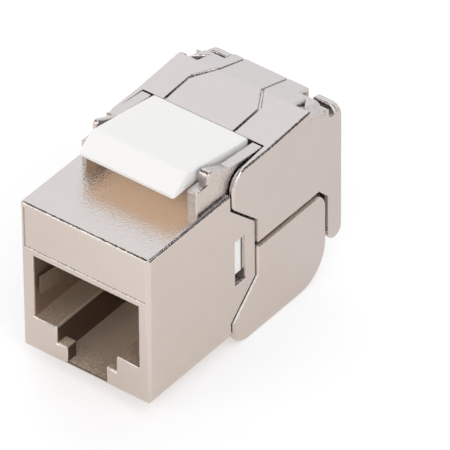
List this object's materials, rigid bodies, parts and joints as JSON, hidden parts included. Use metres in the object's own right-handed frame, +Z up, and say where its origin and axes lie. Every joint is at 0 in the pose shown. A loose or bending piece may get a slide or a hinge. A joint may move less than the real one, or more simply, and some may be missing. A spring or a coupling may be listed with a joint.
{
  "type": "keystone jack",
  "caption": "Shielded keystone network jack: nickel-plated die-cast housing with a plug port, a white latch clip and hinged rear jaws that close on the cable.",
  "frame": {"origin": "on the surface that the jack stands on, under the middle of its box", "axes": "+X to the right of someone facing the plug port, +Y back along the cable, +Z up"},
  "size_m": [0.0152, 0.0284, 0.0219],
  "materials": {
    "nickel_plated_zinc": "satin nickel plate on a zinc die casting",
    "white_plastic": "fine-textured moulded plastic",
    "natural_plastic": "moulded plastic",
    "gold_plated_contact": "gold plate on phosphor bronze",
    "circuit_board": "solder mask on glass-fibre board",
    "spring_steel": "bright spring strip"
  },
  "bodies": {
    "housing": {"front_housing": "nickel_plated_zinc", "contact_insert": "white_plastic", "circuit_board": "circuit_board", "terminal_block": "natural_plastic", "left_shield_spring": "spring_steel", "right_shield_spring": "spring_steel", "port_contact_1": "gold_plated_contact", "port_contact_2": "gold_plated_contact", "port_contact_3": "gold_plated_contact", "port_contact_4": "gold_plated_contact", "port_contact_5": "gold_plated_contact", "port_contact_6": "gold_plated_contact", "port_contact_7": "gold_plated_contact", "port_contact_8": "gold_plated_contact", "idc_contact_1": "gold_plated_contact", "idc_contact_2": "gold_plated_contact", "idc_contact_3": "gold_plated_contact", "idc_contact_4": "gold_plated_contact", "idc_contact_5": "gold_plated_contact", "idc_contact_6": "gold_plated_contact", "idc_contact_7": "gold_plated_contact", "idc_contact_8": "gold_plated_contact"},
    "upper_jaw": {"upper_jaw": "nickel_plated_zinc", "upper_wire_cap": "natural_plastic"},
    "lower_jaw": {"lower_jaw": "nickel_plated_zinc", "lower_wire_cap": "natural_plastic"},
    "latch": {"latch_clip": "white_plastic"}
  },
  "joints": [
    {"name": "upper_jaw_hinge", "type": "hinge", "parent": "housing", "child": "upper_jaw", "pos_m": [0, -0.00003, 0.0179], "axis": [1, 0, 0], "range_deg": [0, 75]},
    {"name": "lower_jaw_hinge", "type": "hinge", "parent": "housing", "child": "lower_jaw", "pos_m": [0, -0.00003, 0.002], "axis": [-1, 0, 0], "range_deg": [0, 75]},
    {"name": "clip_flex", "type": "hinge", "parent": "housing", "child": "latch", "pos_m": [0, 0.00172, 0.0189], "axis": [1, 0, 0], "range_deg": [0, 9], "stiffness_Nm_per_rad": 0.3}
  ],
  "couplings": [
    {"joint": "lower_jaw_hinge", "follows": "upper_jaw_hinge", "ratio": 1}
  ]
}
